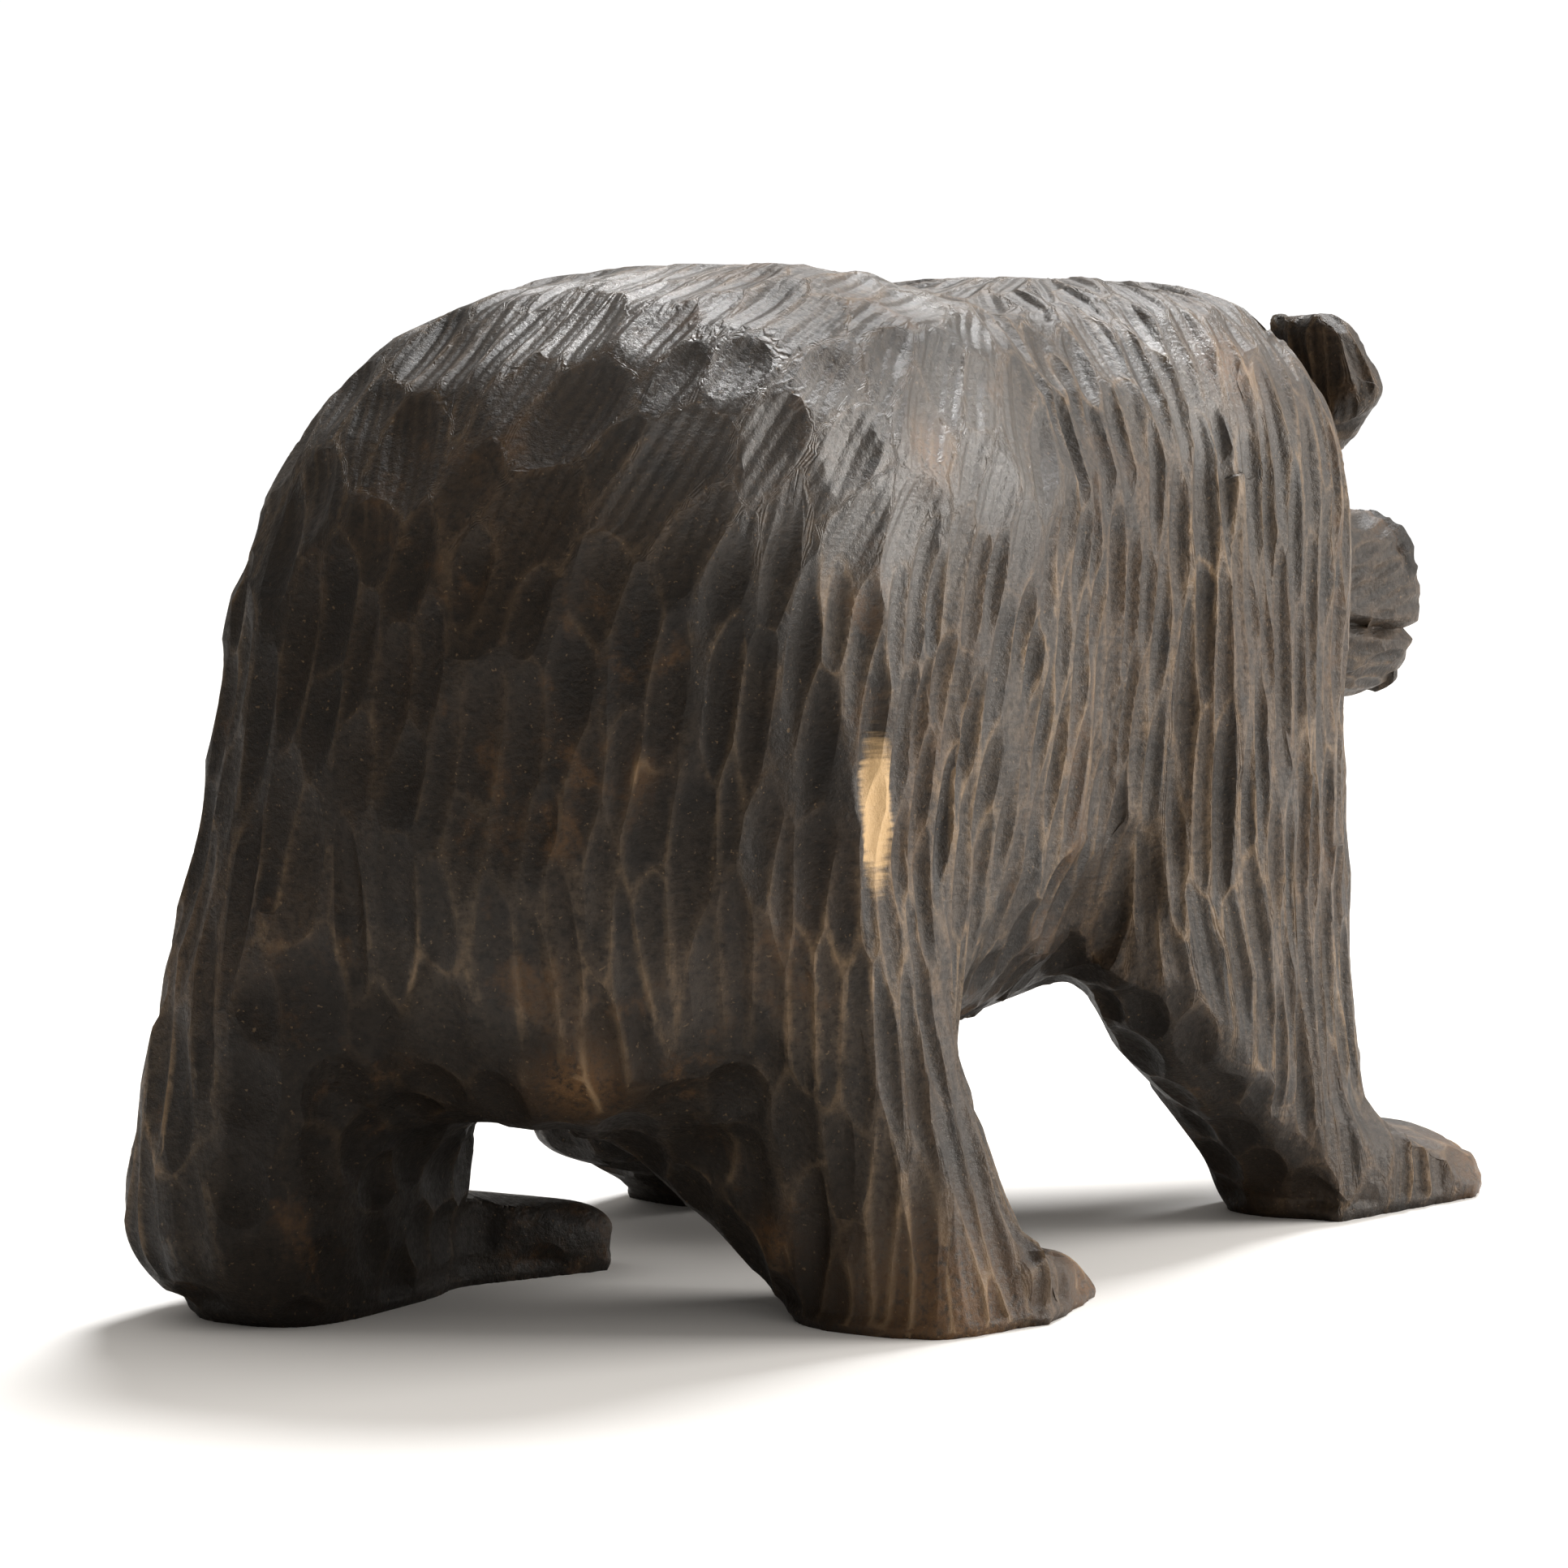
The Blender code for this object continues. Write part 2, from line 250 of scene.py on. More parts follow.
def parts_of(p, n):
    """Soft masks of the body's parts at places p with normals n."""
    x, y, z = p.T
    local = in_head_frame(p)
    side = x - np.interp(y, SPINE_Y, SPINE_X)
    head = smooth_step(9, 0, local[:, 1]) * smooth_step(66, 74, z) * smooth_step(-70, -82, y)
    ear = smooth_step(17, 20, np.abs(local[:, 0])) * smooth_step(17, 21, local[:, 2])
    ear = ear * smooth_step(14, 9, local[:, 1])
    head = np.maximum(head, ear)
    paw = smooth_step(20, 13, z) * smooth_step(0.3, 0.6, n[:, 2])
    leg = smooth_step(72, 48, z) * (1 - head)
    inside = smooth_step(60, 46, z) * smooth_step(0.15, -0.25, n[:, 0] * np.sign(side))
    under = smooth_step(-0.15, -0.5, n[:, 2]) * (1 - head)
    top = smooth_step(0.62, 0.85, n[:, 2]) * smooth_step(100, 120, z) * (1 - head)
    hip = smooth_step(103, 117, z) * smooth_step(0.93, 0.75, n[:, 2]) * smooth_step(14, 34, y)
    rump = smooth_step(0.3, 0.65, n[:, 1]) * smooth_step(30, 60, y) * (1 - leg) * (1 - hip)
    shoulder = smooth_step(4, -14, y) * (1 - head)
    hump = shoulder * smooth_step(0.3, 0.7, n[:, 2]) * smooth_step(110, 130, z)
    spine = np.exp(-((side / 11) ** 2)) * smooth_step(0.6, 0.85, n[:, 2]) * (1 - head)
    return {
        "side": side, "local": local, "head": head, "ear": ear, "paw": paw, "leg": leg,
        "inside": np.maximum(inside, under), "top": top, "hip": hip, "rump": rump,
        "shoulder": shoulder, "hump": hump, "spine": spine,
    }


# %% [markdown]
# ## The way the fur lies
#
# A gouge is pushed along the fur. It lies backwards along the spine, falls over the hips, hangs straight down
# the flanks and legs, and sweeps back from the nose over the head. The flow is a weighted sum of those
# directions, pressed flat onto the surface.

# %% The way the fur lies
HANG_BACK = 0.2
FOOT_Y = 52.0


def rows_of(x, y, z, like):
    """The direction (x, y, z), where each may be a number or an array, repeated as rows."""
    return np.stack([value + np.zeros(len(like)) for value in (x, y, z)], axis=1)


def flow_at(p, n, part):
    """Unit direction of the fur: a blend of part directions, minus its share along the normal."""
    x, y, z = p.T
    out = np.tanh(part["side"] / 6)
    cheek = np.tanh(part["local"][:, 0] / 5)
    hanging = rows_of(0.08 * np.sin(z / 19 + y / 31), HANG_BACK + 0.1 * np.sin(y / 23), -1.0, p)
    backwards = rows_of(0.12 * out, 0.95, -0.3, p)
    over_hip = rows_of(-0.25 * out, 0.55, -0.8, p)
    over_hump = rows_of(0.9 * out, 0.5, -0.7, p)
    lengthwise = rows_of(0.1 * out, 1.0, 0.0, p)
    to_foot = rows_of(-0.003 * x, 0.006 * (np.sign(y) * FOOT_Y - y), -1.0, p)
    from_nose = rows_of(0.55 * cheek, 1.0, -0.25, p) @ HEAD_AXES.T
    flow = hanging
    for name, way in (
        ("leg", to_foot), ("top", backwards), ("hip", over_hip), ("hump", over_hump),
        ("spine", lengthwise), ("head", from_nose), ("ear", rows_of(0.1 * out, 0.0, -1.0, p)),
    ):
        flow = flow * (1 - part[name][:, None]) + unit(way) * part[name][:, None]
    flow = flow - n * np.sum(flow * n, axis=1, keepdims=True)
    return unit(flow)


# %% [markdown]
# ## Sizes of the cuts
#
# Each part has its own gouge: width, length and depth in millimetres. `start` and `end` say how abruptly a
# cut begins and stops: near 1 it runs out evenly, and a small `start` drops in steeply under the cut above,
# which leaves that one standing proud like a scale, as over the hips. `flat` near 1 is a straight chisel's
# chip, and 0 follows the rounded skin.

# %% Sizes of the cuts
PLAIN = {"wide": 4.8, "long": 27.0, "deep": 1.2, "start": 0.7, "end": 0.9, "flat": 0.2}
GOUGES = (
    ("shoulder", {"wide": 4.6, "long": 38.0, "deep": 1.1, "start": 0.85, "end": 0.95, "flat": 0.15}),
    ("rump", {"wide": 6.0, "long": 27.0, "deep": 1.1, "start": 0.55, "end": 1.15, "flat": 0.6}),
    ("leg", {"wide": 4.8, "long": 38.0, "deep": 1.1, "start": 0.8, "end": 1.0, "flat": 0.2}),
    ("top", {"wide": 6.0, "long": 27.0, "deep": 0.7, "start": 0.6, "end": 1.1, "flat": 0.5}),
    ("hump", {"wide": 5.8, "long": 27.0, "deep": 0.85, "start": 0.65, "end": 1.1, "flat": 0.4}),
    ("hip", {"wide": 9.0, "long": 24.0, "deep": 1.05, "start": 0.6, "end": 1.3, "flat": 1.0}),
    ("spine", {"wide": 3.6, "long": 30.0, "deep": 0.5, "start": 0.8, "end": 0.8, "flat": 0.3}),
    ("inside", {"wide": 9.0, "long": 17.0, "deep": 1.2, "start": 0.6, "end": 0.8, "flat": 0.5}),
    ("head", {"wide": 2.9, "long": 14.0, "deep": 0.5, "start": 0.8, "end": 0.8, "flat": 0.2}),
    ("ear", {"wide": 3.4, "long": 20.0, "deep": 0.5, "start": 0.9, "end": 0.9, "flat": 0.5}),
    ("paw", {"wide": 9.0, "long": 18.0, "deep": 0.5, "start": 0.9, "end": 0.9, "flat": 0.6}),
)


def gouge_at(part):
    """The gouge's sizes at each place: PLAIN, going over to each part's own gouge by that part's mask."""
    size = {key: np.full(len(part["side"]), value) for key, value in PLAIN.items()}
    for name, gouge in GOUGES:
        for key, value in gouge.items():
            size[key] = size[key] * (1 - part[name]) + value * part[name]
    return size


def knife_at(part):
    """The same for the broad flats that the knife leaves when it blocks the bear out, smaller on the legs."""
    calm = 1 - np.maximum(part["head"], part["paw"])
    leg = part["leg"]
    even = np.ones_like(leg)
    deep = 1.2 * calm * (1 - 0.3 * leg)
    return {
        "wide": 30.0 - 10 * leg, "long": 64.0 - 14 * leg, "deep": deep,
        "start": even, "end": even, "flat": even,
    }


# %% [markdown]
# ## Setting out the cuts
#
# Cuts on a real carving never line up in a grid, but they also never leave bare wood between them. Throwing
# darts gives that: places are drawn at random on the skin, and one is kept only if no kept cut is already
# close to it, where "close" is measured in the cut's own stretched ellipse, longer along the fur than
# across it.

# %% Setting out the cuts
rng = np.random.default_rng(7)


def thrown_cuts(p, n, size_at, darts, across_gap, along_gap):
    """Cuts at kept darts: a new one needs (along/a)^2 + (across/b)^2 + off^2 > 1 from every kept one."""
    order = rng.permutation(len(p))[:darts]
    q, m = p[order], n[order]
    part = parts_of(q, m)
    size = size_at(part)
    flow = flow_at(q, m, part)
    side = np.cross(m, flow)
    a, b = size["long"] * along_gap, size["wide"] * across_gap
    kept = []
    kept_p = np.empty((darts, 3))
    for i in range(len(order)):
        step = kept_p[: len(kept)] - q[i]
        step = step[np.abs(step).max(axis=1, initial=0) < a[i]] if len(kept) else step
        along, across, off = step @ flow[i] / a[i], step @ side[i] / b[i], step @ m[i] / (3 * b[i])
        if not np.any(along**2 + across**2 + off**2 < 1):
            kept_p[len(kept)] = q[i]
            kept.append(i)
    cuts = {key: value[kept] for key, value in size.items()}
    cuts.update(place=q[kept], normal=m[kept], flow=flow[kept], side=side[kept])
    for key, spread in (("wide", 0.2), ("long", 0.3), ("deep", 0.3)):
        cuts[key] = cuts[key] * (1 + spread * rng.uniform(-1, 1, len(kept)))
    cuts["tone"] = rng.uniform(0, 1, len(kept))
    return cuts


# %% [markdown]
# ## Carving
#
# A gouge leaves a trough that is round across and long along the fur. Its floor is a shallow bowl: depth
# falls off with the square of the distance across and along. Where two bowls meet, the lower one wins, and
# the meeting line is the sharp ridge that catches the light. So the new surface is the lowest of all bowls,
# and the gap between the lowest and the second lowest, divided by how fast the two part, is the distance to
# that ridge. The knife's flats are the same bowls, broad and measured from a straight plane instead of from
# the skin, so they flatten it. The skin is taken in blocks, each with the few cuts that can reach it, because
# every place against every cut at once would fill the memory.

# %% Carving
BLOCK = 12.0
OUT_OF_PLAY = 9.0
RIDGE_FAR = 3.0
SOLE_HIGH, SOLE_FADE, BOX_ROOM = 0.4, (0.3, 3.0), 0.02


def bowls(p, n, cuts, pick):
    """Height of each picked cut's bowl over each place, deep * (-1 + across^2 + along^2) in half widths.

    It also rises where the skin has turned away from the cut. Where flat is 1, the bowl is measured from the
    cut's own straight plane instead of from the skin.
    """
    step = p[:, None, :] - cuts["place"][pick][None, :, :]
    along = np.einsum("ijk,jk->ij", step, cuts["flow"][pick])
    across = np.einsum("ijk,jk->ij", step, cuts["side"][pick])
    off = np.einsum("ijk,jk->ij", step, cuts["normal"][pick])
    half_wide, half_long = cuts["wide"][pick] / 2, cuts["long"][pick] / 2
    reach = half_long * np.where(along > 0, cuts["end"][pick], cuts["start"][pick])
    stray = np.maximum(np.abs(off) - half_wide, 0) / half_wide
    stray = stray + 8 * np.maximum(0.45 - n @ cuts["normal"][pick].T, 0)
    bowl = cuts["deep"][pick] * (-1 + (across / half_wide) ** 2 + (along / reach) ** 2 + stray)
    return bowl - cuts["flat"][pick] * np.clip(off, -2.5, 1.0), along, across


def steepness(cuts, chosen, along, across):
    """The slope of each place's chosen bowl as a vector: 2 * deep * distance / reach^2, across and along."""
    rise_across = 2 * cuts["deep"][chosen] * across / (cuts["wide"][chosen] / 2) ** 2
    rise_along = 2 * cuts["deep"][chosen] * along / (cuts["long"][chosen] / 2) ** 2
    return rise_across[:, None] * cuts["side"][chosen] + rise_along[:, None] * cuts["flow"][chosen]


def carve(p, n, cuts):
    """At each place: the lowest bowl's depth, its tone, how far across it is, and how far the next ridge."""
    made = {"depth": np.zeros(len(p)), "ridge": np.full(len(p), RIDGE_FAR)}
    made.update(tone=np.full(len(p), 0.5), across=np.zeros(len(p)))
    _, block = np.unique(np.floor(p / BLOCK).astype(int), axis=0, return_inverse=True)
    order = np.argsort(block.ravel(), kind="stable")
    starts = np.flatnonzero(np.diff(block.ravel()[order], prepend=-1))
    for rows in np.split(order, starts[1:]):
        low, high = p[rows].min(axis=0), p[rows].max(axis=0)
        away = np.maximum(np.maximum(low - cuts["place"], cuts["place"] - high), 0)
        pick = np.flatnonzero(np.linalg.norm(away, axis=1) < cuts["long"] * 0.68)
        if not len(pick):
            continue
        height, along, across = bowls(p[rows], n[rows], cuts, pick)
        each = np.arange(len(rows))
        best = np.argmin(height, axis=1)
        first = height[each, best].copy()
        height[each, best] = OUT_OF_PLAY
        second = np.argmin(height, axis=1)
        slope = steepness(cuts, pick[best], along[each, best], across[each, best])
        slope = slope - steepness(cuts, pick[second], along[each, second], across[each, second])
        gap = (height[each, second] - first) / np.maximum(np.linalg.norm(slope, axis=1), 0.15)
        made["depth"][rows] = np.clip(first, -3.0, 0.1)
        made["ridge"][rows] = np.minimum(gap, RIDGE_FAR)
        made["tone"][rows] = cuts["tone"][pick][best]
        made["across"][rows] = across[each, best]
    return made


def settled(before, after):
    """Carved places with the soles kept flat on z = 0 and nothing outside the frame's box."""
    fade = smooth_step(*SOLE_FADE, before[:, 2])[:, None]
    after = before * (1 - fade) + after * fade
    low, high = (np.array(corner) / MM - START for corner in cad_box)
    after = np.clip(after, low + BOX_ROOM, high - BOX_ROOM)
    after[:, 2] = np.where(before[:, 2] < SOLE_HIGH, 0.0, np.maximum(after[:, 2], 0.0))
    return after


knife = thrown_cuts(skin, facing, knife_at, darts=4000, across_gap=0.42, along_gap=0.36)
flats = carve(skin, facing, knife)["depth"]
skin = settled(skin, skin + facing * np.minimum(flats, 0.0)[:, None])
write_places(bear.data, skin)
facing = read_normals(bear.data)
print("knife flats:", len(knife["place"]), "mean depth", flats.mean().round(2), "mm")

# %% [markdown]
# ## Gouging
#
# The edge of an old gouge is never quite even, and a carver likes that: each stroke over the back, hips and
# shoulders leaves a few fine parallel flutes on its floor. They are a cosine of the distance across the
# stroke.

# %% Gouging
FLUTE_GAP, FLUTE_DEEP = 2.2, 0.16
FLUTED_PARTS = {"hip": 0.6, "top": 0.6, "ear": 0.6, "shoulder": 0.3, "leg": 0.15}

cuts = thrown_cuts(skin, facing, gouge_at, darts=40000, across_gap=0.76, along_gap=0.56)
gouged = carve(skin, facing, cuts)
part = parts_of(skin, facing)
fluted = sum(share * part[name] for name, share in FLUTED_PARTS.items())
fluted = np.clip(fluted, 0, 1) * (1 - np.maximum(part["paw"], part["inside"]))
flutes = FLUTE_DEEP * (0.5 - 0.5 * np.cos(2 * math.pi * gouged["across"] / FLUTE_GAP)) * fluted
carved = settled(skin, skin + facing * (gouged["depth"] - flutes)[:, None])
print("gouge cuts:", len(cuts["place"]), "mean depth", gouged["depth"].mean().round(2), "mm")

# %% [markdown]
# ## Face
#
# The face is cut last, with the knife's point. Every feature is a small push along the surface normal, given
# in the head's own directions: ahead, to its side, and up. The eye cups are pulled to an exact bowl round
# each bead, so the glass sits in the wood.

# %% Face
EYE_AHEAD, EYE_OUT, EYE_UP = 13.0, 14.5, 9.0
CUP_R, LID_R, LID_OUT = 2.85, 6.5, 0.55
NOSE_AHEAD, NOSE_BACK = 44.0, 38.0
EAR_AHEAD, EAR_OUT, EAR_UP = 2.0, 25.0, 28.8


def pit(offsets, reach, deep):
    """-deep at the middle of an ellipsoid, rising as (1 - r^2)^2 to 0 at its edge."""
    r2 = sum((value / size) ** 2 for value, size in zip(offsets, reach))
    return -deep * np.clip(1 - r2, 0, 1) ** 2


def knife_line(distance, half_wide):
    """1 on the line, falling evenly to 0 at half_wide from it, as a V-shaped cut does."""
    return np.clip(1 - np.abs(distance) / half_wide, 0, 1)


def face_push(local, n_local):
    """How far each place moves along its normal for nose, mouth, brow and ears, in millimetres."""
    side, ahead, up = local[:, 0], -local[:, 1], local[:, 2]
    wide = np.abs(side)
    push = np.zeros(len(local))
    mouth_up = -17.0 + 0.004 * (NOSE_AHEAD - ahead) ** 2
    mouth = knife_line(up - mouth_up, 1.7) * smooth_step(17, 24, ahead)
    push -= 2.0 * mouth
    nostril = pit((wide - 4.2, ahead - NOSE_AHEAD, up + 1.5), (2.4, 4.5, 2.6), 2.4)
    push += nostril
    groove = knife_line(wide, 1.1) * smooth_step(40, 43, ahead) * bump(up, -10.5, 7.5)
    push -= 1.0 * groove
    under_nose = knife_line(up + 6.0, 1.3) * smooth_step(38, 42, ahead) * smooth_step(9, 7, wide)
    push -= 0.8 * under_nose
    nose_back = knife_line(ahead - NOSE_BACK, 1.6) * smooth_step(-7, -5, up)
    push -= 0.7 * nose_back
    brow = pit((wide - 12, ahead - 12, up - 15), (7, 6, 4), 1.5)
    push -= brow
    hollow = pit((wide - EAR_OUT - 0.5, ahead - EAR_AHEAD - 4, up - EAR_UP), (8.5, 9, 9.5), 3.6)
    push += hollow * smooth_step(0.2, 0.6, -n_local[:, 1])
    return push


def with_eye_cups(places):
    """Places near each bead pulled to a lid surface that dips to a cup of radius CUP_R at the bead."""
    local = in_head_frame(places)
    wide, ahead, up = np.abs(local[:, 0]), -local[:, 1], local[:, 2]
    r = np.hypot(ahead - EYE_AHEAD, up - EYE_UP)
    lid = EYE_OUT + LID_OUT
    cup = EYE_OUT - np.sqrt(np.maximum(CUP_R**2 - r**2, 0))
    target = np.where(r < CUP_R, cup, lid)
    near = smooth_step(LID_R, CUP_R + 0.6, r) * smooth_step(4, 8, wide)
    wide = wide * (1 - near) + target * near
    local = np.stack([np.sign(local[:, 0]) * wide, local[:, 1], local[:, 2]], axis=1)
    return local @ HEAD_AXES.T + HEAD_MIDDLE


in_head = smooth_step(20, 14, in_head_frame(skin)[:, 1]) * smooth_step(-72, -80, skin[:, 1])
push = face_push(in_head_frame(skin), facing @ HEAD_AXES) * in_head
carved = carved + facing * push[:, None]
eyed = with_eye_cups(carved)
carved = settled(skin, np.where((in_head > 0.5)[:, None], eyed, carved))
write_places(bear.data, carved)
print("face: deepest push", push.min().round(2), "mm")

# %% [markdown]
# ## What the finish needs to know
#
# The stain follows the tool work, so its masks are stored on the corners while the numbers are at hand: how
# near a ridge is, which cut this is, where hands polished the wood, where painted shade lies on the rump, the
# undersides and the insides of the legs, in one mask with the nose's black and a lighter darkening of the
# hips and head, and where it was rubbed bare. An attribute rides along when the mesh is thinned, and a shader
# can read it anywhere.

# %% What the finish needs to know
POLISHED = (
    (-38, -25, 137), (-25, 88, 129), (-1, 85, 143), (-38, 70, 119),
    (-41, 42, 126), (-18, 32, 148), (8, 70, 150),
)
POLISHED_REACH = 15
# Painted shade: how much darker the rump, the undersides and the insides of the legs are coloured, where they
# lie away from the light; the hips and head are darkened less.
PAINTED_SHADE_PARTS = {"rump": 0.75, "inside": 0.85, "hip": 0.4, "head": 0.4}
SCRAPE = ((-41.0, 75.0, 74.0), np.array([6.0, 4.2, 13.0]))
WORN_SPOTS = (
    ((-8, 101, 36), 5.5), ((-24, 76, 12), 3), ((-18, 101, 80), 1.6), ((-41, -36, 137), 7),
    ((-40, 59, 124), 5), ((-50, 70, 2), 13), ((-52, 36, 3), 9), ((-60, -86, 3), 9),
    ((-42, -56, 3), 8), ((-40, 92, 58), 5),
)


def add_attribute(mesh, name, values):
    """A number on each corner of mesh."""
    layer = mesh.attributes.new(name, "FLOAT", "POINT")
    layer.data.foreach_set("value", values.astype(np.float32))


def spots(places, centres_and_reaches):
    """Sum of bells exp(-(d / reach)^2) about some places, at most 1."""
    total = np.zeros(len(places))
    for centre, reach in centres_and_reaches:
        total += np.exp(-np.sum(((places - np.array(centre)) / reach) ** 2, axis=1))
    return np.clip(total, 0, 1)


polished = spots(skin, [(place, POLISHED_REACH) for place in POLISHED])
gloss = np.maximum(polished, 0.3 * part["hump"])
add_attribute(bear.data, "ridge", gouged["ridge"])
add_attribute(bear.data, "cut_tone", gouged["tone"])
add_attribute(bear.data, "flute", 2 * math.pi * gouged["across"] / FLUTE_GAP)
add_attribute(bear.data, "fluted", fluted)
add_attribute(bear.data, "gloss", gloss)
ahead, up = -part["local"][:, 1], part["local"][:, 2]
nose = smooth_step(NOSE_BACK - 1, NOSE_BACK + 2, ahead) * smooth_step(-8, -6, up) * part["head"]
# Painted shade on the parts above, in one mask with the black-painted nose.
shade_and_nose = sum(share * part[name] for name, share in PAINTED_SHADE_PARTS.items()) + nose
add_attribute(bear.data, "shade_and_nose", np.clip(shade_and_nose, 0, 1))
add_attribute(bear.data, "bare", spots(skin, [SCRAPE]))
add_attribute(bear.data, "worn", spots(skin, WORN_SPOTS))
print("attributes:", [layer.name for layer in bear.data.attributes if layer.domain == "POINT"])

# %% [markdown]
# ## Thinning
#
# More than 800,000 small squares are far more than the smooth trough floors need. A collapse decimation keeps
# corners where the surface bends, so the ridges stay crisp and the floors get larger triangles. The edges
# along the ridges are then marked sharp, so that shading doesn't round them off.

# %% Thinning
MOST_TRIANGLES = 196_000
SHARP_ANGLE = math.radians(22)


def thinned(obj):
    """Collapses the mesh to at most MOST_TRIANGLES and marks edges that bend more than SHARP_ANGLE."""
    count = sum(len(face.vertices) - 2 for face in obj.data.polygons)
    if count > MOST_TRIANGLES:
        thin = obj.modifiers.new("thin", "DECIMATE")
        thin.ratio = MOST_TRIANGLES / count
        applied(obj)
    obj.data.shade_smooth()
    obj.data.set_sharp_from_angle(angle=SHARP_ANGLE)
    return obj


thinned(bear)
print("thinned:", len(bear.data.polygons), "faces")

# %% [markdown]
# ## Shader nodes
#
# A finish is a tree of small nodes. Wiring them one by one hides the idea under boilerplate, so a few short
# helpers name what each kind of node is for. Those from maths on return a socket, so they nest like sums.

# %% Shader nodes


def new_material(name):
    """A new node material, its tree, and its Principled shader."""
    made = bpy.data.materials.new(name)
    made.use_nodes = True
    return made, made.node_tree, made.node_tree.nodes["Principled BSDF"]


def node(tree, kind, settings=None, **inputs):
    """A node with its settings, its inputs set to values or linked from sockets; i2 is input number 2."""
    made = tree.nodes.new(kind)
    for key, value in (settings or {}).items():
        setattr(made, key, value)
    for key, value in inputs.items():
        socket = made.inputs[int(key[1:])] if key[0] == "i" and key[1:].isdigit() else made.inputs[key]
        if isinstance(value, bpy.types.NodeSocket):
            tree.links.new(value, socket)
        else:
            socket.default_value = value
    return made


def maths(tree, operation, a, b=0.0):
    """One Math node's result."""
    return node(tree, "ShaderNodeMath", {"operation": operation}, i0=a, i1=b).outputs[0]


def times(tree, a, b):
    """The product of two values."""
    return maths(tree, "MULTIPLY", a, b)


def less(tree, value, share, most):
    """value minus most where share is 1, and value itself where share is 0."""
    return maths(tree, "SUBTRACT", value, times(tree, share, most))


def mixed(tree, share, a, b):
    """Colour a going to b by share."""
    made = node(tree, "ShaderNodeMix", {"data_type": "RGBA", "clamp_factor": True}, i0=share, i6=a, i7=b)
    return made.outputs[2]


def ranged(tree, value, low, high, to_low=0.0, to_high=1.0):
    """value from low to high, spread smoothly over to_low to to_high."""
    made = node(
        tree, "ShaderNodeMapRange", {"interpolation_type": "SMOOTHSTEP"},
        i0=value, i1=low, i2=high, i3=to_low, i4=to_high,
    )
    return made.outputs[0]


print("node helpers: node, maths, times, less, mixed, ranged")

# %% [markdown]
# ## Patterns
#
# Wood and stain vary at every scale, from clouds as broad as a shoulder to pores. All of that is noise on the
# Object coordinates, which never slides on the piece. The corner attributes carry the tool work into the same
# tree.

# %% Patterns
MASKS = ("ridge", "cut_tone", "flute", "fluted", "gloss", "shade_and_nose", "bare", "worn")


def noise(tree, where, scale, detail=3.0, rough=0.55, stretch=None):
    """Noise between 0 and 1, with its coordinates multiplied by stretch first."""
    if stretch:
        where = node(tree, "ShaderNodeMapping", None, i0=where, Scale=stretch).outputs[0]
    made = node(tree, "ShaderNodeTexNoise", None, Vector=where, Scale=scale, Detail=detail, Roughness=rough)
    return made.outputs[0]


def attribute(tree, name):
    """A corner attribute's value."""
    return node(tree, "ShaderNodeAttribute", {"attribute_name": name}).outputs["Fac"]


def wood_patterns(tree):
    """The coordinates, every mask, and the fine mottle and grain that more than one layer uses."""
    patterns = {name: attribute(tree, name) for name in MASKS}
    patterns["where"] = node(tree, "ShaderNodeTexCoord").outputs["Object"]
    patterns["fine"] = noise(tree, patterns["where"], 900, 5, 0.7)
    patterns["grain"] = noise(tree, patterns["where"], 1100, 3, 0.6, (1.0, 0.08, 1.0))
    patterns["crest"] = times(tree, maths(tree, "COSINE", patterns["flute"]), patterns["fluted"])
    return patterns


print("masks read by the wood:", ", ".join(MASKS))

# %% [markdown]
# ## Stained wood
#
# The finish is layers, as on the real piece: brown wood, a black-brown stain that sank in unevenly, and the
# stain rubbed away along the ridges. The colour is darkest in the hollows of the cuts, partly from stain
# pooled there and partly as painted shade, in clouds of stain, and where painted shade is laid on the rump,
# the undersides and the insides of the legs, which share one mask with the black nose and, more lightly, the
# hips and head. The brown wood shows through in patches.

# %% Stained wood
# Black-brown stain for the clouds, streaks and mottle, also used as the painted shade on the rump, undersides
# and inner legs, and as the nose's black.
BLACK_STAIN_AND_SHADE = (0.0066, 0.0050, 0.0037, 1)
# Darker stain for each cut's tone, also used as painted shade towards the floors of the cuts.
DARK_STAIN_AND_SHADE = (0.0175, 0.0120, 0.0076, 1)
STAIN_WARM = (0.088, 0.054, 0.029, 1)
STAIN_GREY = (0.094, 0.067, 0.043, 1)
BROWN = (0.135, 0.068, 0.026, 1)


